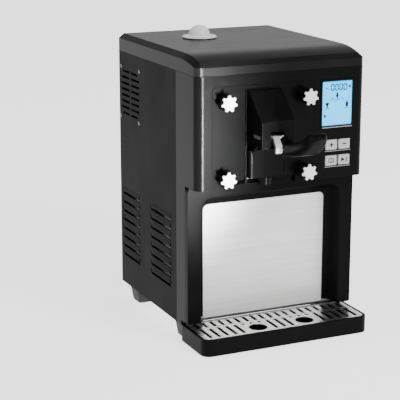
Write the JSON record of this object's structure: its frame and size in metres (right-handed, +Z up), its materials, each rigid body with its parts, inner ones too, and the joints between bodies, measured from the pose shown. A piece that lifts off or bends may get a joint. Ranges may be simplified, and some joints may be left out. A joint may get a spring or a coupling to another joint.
{
  "type": "soft serve machine",
  "caption": "Countertop soft serve machine with a front dispensing head, draw lever, lit display, brushed splash panel, slotted drip tray and top hopper opening.",
  "frame": {"origin": "centre of the overall box in plan, at the height of the surface that the feet stand on", "axes": "+Z up; -Y is the front, where the draw lever and the display face; +X is the machine's right as seen from the front"},
  "size_m": [0.282, 0.457, 0.4628],
  "materials": {
    "cabinet_paint": "fine satin powder coat",
    "fascia_black": "semi-gloss moulded",
    "frame_black": "satin moulded",
    "brushed_panel": "horizontal brushing",
    "bright_steel": "polished",
    "inner_steel": "mill finish",
    "zinc_steel": "zinc plated",
    "fin_aluminium": "mill finish",
    "cast_case": "as cast",
    "copper_tube": "drawn tube",
    "black_rubber": "matt",
    "milky_plastic": "translucent natural",
    "knob_grey": "satin",
    "key_grey": "satin",
    "foam": "rigid foam",
    "circuit_board": "solder mask",
    "display_glass": "backlit"
  },
  "bodies": {
    "chassis": {"side_panel_left": "cabinet_paint", "side_panel_right": "cabinet_paint", "rear_panel": "cabinet_paint", "top_cover": "cabinet_paint", "compressor": "cabinet_paint", "front_housing": "fascia_black", "display_bezel": "fascia_black", "lower_front_frame": "frame_black", "fan_shroud": "frame_black", "power_inlet": "frame_black", "switch_housing": "frame_black", "splash_panel": "brushed_panel", "hopper_tank": "inner_steel", "freezing_cylinder": "inner_steel", "mix_feed_tube": "inner_steel", "base_pan": "zinc_steel", "motor_case": "zinc_steel", "door_stud_upper_left": "zinc_steel", "door_stud_upper_right": "zinc_steel", "door_stud_lower_left": "zinc_steel", "door_stud_lower_right": "zinc_steel", "condenser": "fin_aluminium", "gear_case": "cast_case", "evaporator_coil": "copper_tube", "filter_drier": "copper_tube", "foot_front_left": "black_rubber", "foot_front_right": "black_rubber", "foot_rear_left": "black_rubber", "foot_rear_right": "black_rubber", "shaft_seal": "black_rubber", "insulation_sleeve": "foam", "control_board": "circuit_board", "display_module": "display_glass"},
    "door": {"dispensing_door": "fascia_black", "door_gasket": "milky_plastic", "valve_body": "fascia_black", "valve_hood": "fascia_black", "star_nozzle": "fascia_black", "pivot_pin": "bright_steel"},
    "lever": {"lever_arm": "bright_steel", "lever_grip": "frame_black"},
    "plunger": {"valve_plunger": "milky_plastic", "plunger_ring_lower": "black_rubber", "plunger_ring_upper": "black_rubber"},
    "beater": {"beater": "inner_steel", "drive_gear": "cast_case"},
    "rotor": {"motor_rotor": "zinc_steel"},
    "fan": {"fan_rotor": "frame_black"},
    "tray": {"drip_tray": "frame_black"},
    "grid": {"drip_grid": "bright_steel"},
    "lid": {"hopper_lid": "milky_plastic"},
    "rocker": {"rocker_switch": "frame_black"},
    "knob_upper_left": {"star_knob_upper_left": "knob_grey"},
    "knob_upper_right": {"star_knob_upper_right": "knob_grey"},
    "knob_lower_left": {"star_knob_lower_left": "knob_grey"},
    "knob_lower_right": {"star_knob_lower_right": "knob_grey"},
    "menu_key": {"key_menu": "key_grey"},
    "start_key": {"key_start": "key_grey"},
    "plus_key": {"key_plus": "key_grey"},
    "minus_key": {"key_minus": "key_grey"}
  },
  "joints": [
    {"name": "door_pull", "type": "slide", "parent": "chassis", "child": "door", "axis": [0, -1, 0], "range_m": [0, 0.06]},
    {"name": "lever_pull", "type": "hinge", "parent": "door", "child": "lever", "pos_m": [-0.0305, -0.112, 0.3285], "axis": [1, 0, 0], "range_deg": [0, 28]},
    {"name": "valve_lift", "type": "slide", "parent": "door", "child": "plunger", "axis": [0, 0, 1], "range_m": [0, 0.0145]},
    {"name": "knob_upper_left_turn", "type": "hinge", "parent": "door", "child": "knob_upper_left", "pos_m": [-0.0975, -0.0805, 0.378], "axis": [0, -1, 0], "continuous": true},
    {"name": "knob_upper_right_turn", "type": "hinge", "parent": "door", "child": "knob_upper_right", "pos_m": [0.0355, -0.0805, 0.378], "axis": [0, -1, 0], "continuous": true},
    {"name": "knob_lower_left_turn", "type": "hinge", "parent": "door", "child": "knob_lower_left", "pos_m": [-0.0975, -0.0805, 0.2645], "axis": [0, -1, 0], "continuous": true},
    {"name": "knob_lower_right_turn", "type": "hinge", "parent": "door", "child": "knob_lower_right", "pos_m": [0.0355, -0.0805, 0.2645], "axis": [0, -1, 0], "continuous": true},
    {"name": "beater_spin", "type": "hinge", "parent": "chassis", "child": "beater", "pos_m": [-0.031, -0.0572, 0.32125], "axis": [0, 1, 0], "continuous": true},
    {"name": "rotor_spin", "type": "hinge", "parent": "chassis", "child": "rotor", "pos_m": [0.0065, 0.1148, 0.32125], "axis": [0, 1, 0], "continuous": true},
    {"name": "fan_spin", "type": "hinge", "parent": "chassis", "child": "fan", "pos_m": [-0.1352, 0.1785, 0.351], "axis": [1, 0, 0], "continuous": true},
    {"name": "tray_slide", "type": "slide", "parent": "chassis", "child": "tray", "axis": [0, -1, 0], "range_m": [0, 0.09]},
    {"name": "grid_lift", "type": "slide", "parent": "tray", "child": "grid", "axis": [0, 0, 1], "range_m": [0, 0.005]},
    {"name": "lid_lift", "type": "slide", "parent": "chassis", "child": "lid", "axis": [0, 0, 1], "range_m": [0, 0.06]},
    {"name": "switch_rock", "type": "hinge", "parent": "chassis", "child": "rocker", "pos_m": [0.095, 0.2205, 0.11], "axis": [0, 0, 1], "range_deg": [0, 16]},
    {"name": "menu_press", "type": "slide", "parent": "chassis", "child": "menu_key", "axis": [0, 1, 0], "range_m": [0, 0.0015], "stiffness_N_per_m": 400, "springref_m": -0.0006},
    {"name": "start_press", "type": "slide", "parent": "chassis", "child": "start_key", "axis": [0, 1, 0], "range_m": [0, 0.0015], "stiffness_N_per_m": 400, "springref_m": -0.0006},
    {"name": "plus_press", "type": "slide", "parent": "chassis", "child": "plus_key", "axis": [0, 1, 0], "range_m": [0, 0.0015], "stiffness_N_per_m": 400, "springref_m": -0.0006},
    {"name": "minus_press", "type": "slide", "parent": "chassis", "child": "minus_key", "axis": [0, 1, 0], "range_m": [0, 0.0015], "stiffness_N_per_m": 400, "springref_m": -0.0006}
  ],
  "couplings": [
    {"joint": "valve_lift", "follows": "lever_pull", "m_per_rad": 0.0295},
    {"joint": "rotor_spin", "follows": "beater_spin", "ratio": -4}
  ]
}
